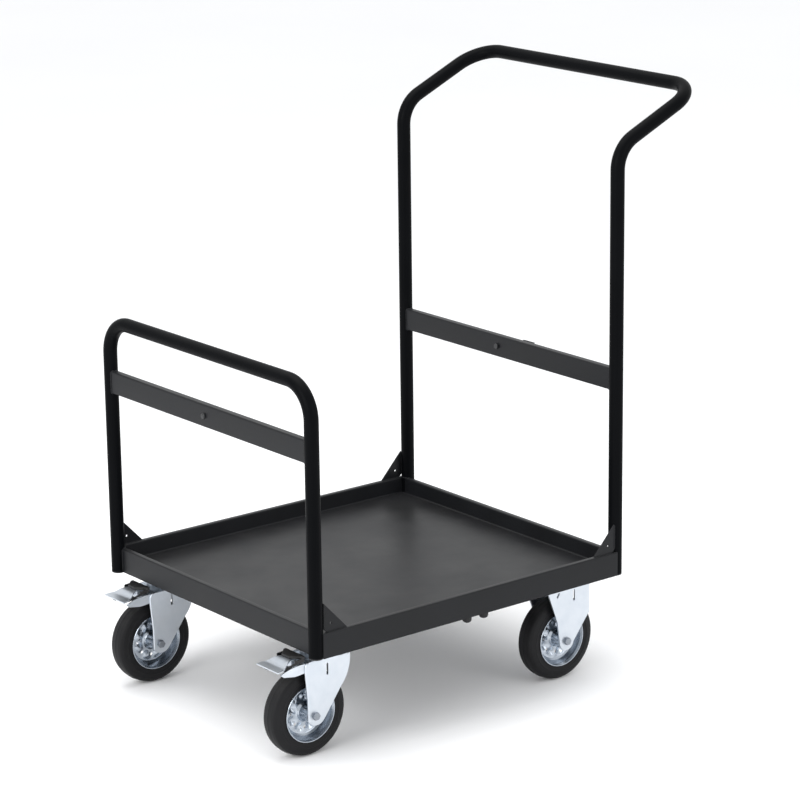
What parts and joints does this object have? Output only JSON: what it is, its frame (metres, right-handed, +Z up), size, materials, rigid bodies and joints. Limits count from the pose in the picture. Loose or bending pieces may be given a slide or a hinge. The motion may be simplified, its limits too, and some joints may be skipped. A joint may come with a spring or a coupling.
{
  "type": "flatbed platform truck",
  "caption": "Flatbed platform truck: a raised-rim steel deck with a low end hoop and a tall push handle, on rigid and braked swivel casters.",
  "frame": {"origin": "on the floor under the middle of the truck's outer box", "axes": "+X towards the push handle, +Y to the far side, +Z up"},
  "size_m": [0.9646, 0.6434, 1.1053],
  "materials": {
    "black_powder_coat": "satin black powder coat",
    "bright_zinc": "bright zinc plate",
    "black_rubber_tyre": "matt solid rubber",
    "black_plastic": "moulded black plastic",
    "buffer_rubber": "matt rubber",
    "black_screw": "black coated screw",
    "ball_steel": "polished steel balls",
    "cage_plastic": "moulded roller cage"
  },
  "bodies": {
    "truck_frame": {"deck_tray": "black_powder_coat", "low_hoop": "black_powder_coat", "push_handle": "black_powder_coat", "tube_end_plugs": "black_plastic", "low_hoop_bar": "black_powder_coat", "push_handle_bar": "black_powder_coat", "hoop_gusset_near": "black_powder_coat", "hoop_gusset_far": "black_powder_coat", "handle_gusset_near": "black_powder_coat", "handle_gusset_far": "black_powder_coat", "front_cross_member": "black_powder_coat", "back_cross_member": "black_powder_coat", "middle_cross_member": "black_powder_coat", "underside_buffers": "buffer_rubber", "plate_bolts": "bright_zinc", "plate_nuts": "bright_zinc", "handle_hook": "black_plastic", "handle_bar_screw": "black_screw", "low_bar_screw": "black_screw", "rigid_axle_bolts": "bright_zinc", "rigid_axle_nuts": "bright_zinc", "swivel_plate_near": "bright_zinc", "kingpin_near": "bright_zinc", "rigid_bracket_near": "bright_zinc", "rigid_axle_sleeve_near": "bright_zinc", "swivel_plate_far": "bright_zinc", "kingpin_far": "bright_zinc", "rigid_bracket_far": "bright_zinc", "rigid_axle_sleeve_far": "bright_zinc"},
    "swivel_near": {"swivel_fork_near": "bright_zinc", "swivel_balls_near": "ball_steel", "brake_housing_near": "bright_zinc", "pedal_pin_near": "bright_zinc", "swivel_axle_bolt_near": "bright_zinc", "swivel_axle_nut_near": "bright_zinc", "swivel_axle_sleeve_near": "bright_zinc"},
    "brake_near": {"brake_pedal_near": "bright_zinc", "release_tab_near": "black_plastic"},
    "swivel_wheel_near": {"swivel_tyre_near": "black_rubber_tyre", "swivel_rim_near": "bright_zinc", "swivel_roller_cage_near": "cage_plastic"},
    "rigid_wheel_near": {"rigid_tyre_near": "black_rubber_tyre", "rigid_rim_near": "bright_zinc", "rigid_roller_cage_near": "cage_plastic"},
    "swivel_far": {"swivel_fork_far": "bright_zinc", "swivel_balls_far": "ball_steel", "brake_housing_far": "bright_zinc", "pedal_pin_far": "bright_zinc", "swivel_axle_bolt_far": "bright_zinc", "swivel_axle_nut_far": "bright_zinc", "swivel_axle_sleeve_far": "bright_zinc"},
    "brake_far": {"brake_pedal_far": "bright_zinc", "release_tab_far": "black_plastic"},
    "swivel_wheel_far": {"swivel_tyre_far": "black_rubber_tyre", "swivel_rim_far": "bright_zinc", "swivel_roller_cage_far": "cage_plastic"},
    "rigid_wheel_far": {"rigid_tyre_far": "black_rubber_tyre", "rigid_rim_far": "bright_zinc", "rigid_roller_cage_far": "cage_plastic"}
  },
  "joints": [
    {"name": "swivel_turn_near", "type": "hinge", "parent": "truck_frame", "child": "swivel_near", "pos_m": [-0.34865, -0.24, 0.183], "axis": [0, 0, 1], "continuous": true},
    {"name": "swivel_wheel_spin_near", "type": "hinge", "parent": "swivel_near", "child": "swivel_wheel_near", "pos_m": [-0.40235, -0.24, 0.08], "axis": [0, 1, 0], "continuous": true},
    {"name": "brake_press_near", "type": "hinge", "parent": "swivel_near", "child": "brake_near", "pos_m": [-0.42835, -0.24, 0.174], "axis": [0, -1, 0], "range_deg": [0, 8]},
    {"name": "rigid_wheel_spin_near", "type": "hinge", "parent": "truck_frame", "child": "rigid_wheel_near", "pos_m": [0.18355, -0.24, 0.08], "axis": [0, 1, 0], "continuous": true},
    {"name": "swivel_turn_far", "type": "hinge", "parent": "truck_frame", "child": "swivel_far", "pos_m": [-0.34865, 0.24, 0.183], "axis": [0, 0, 1], "continuous": true},
    {"name": "swivel_wheel_spin_far", "type": "hinge", "parent": "swivel_far", "child": "swivel_wheel_far", "pos_m": [-0.40235, 0.24, 0.08], "axis": [0, 1, 0], "continuous": true},
    {"name": "brake_press_far", "type": "hinge", "parent": "swivel_far", "child": "brake_far", "pos_m": [-0.42835, 0.24, 0.174], "axis": [0, -1, 0], "range_deg": [0, 8]},
    {"name": "rigid_wheel_spin_far", "type": "hinge", "parent": "truck_frame", "child": "rigid_wheel_far", "pos_m": [0.18355, 0.24, 0.08], "axis": [0, 1, 0], "continuous": true}
  ]
}
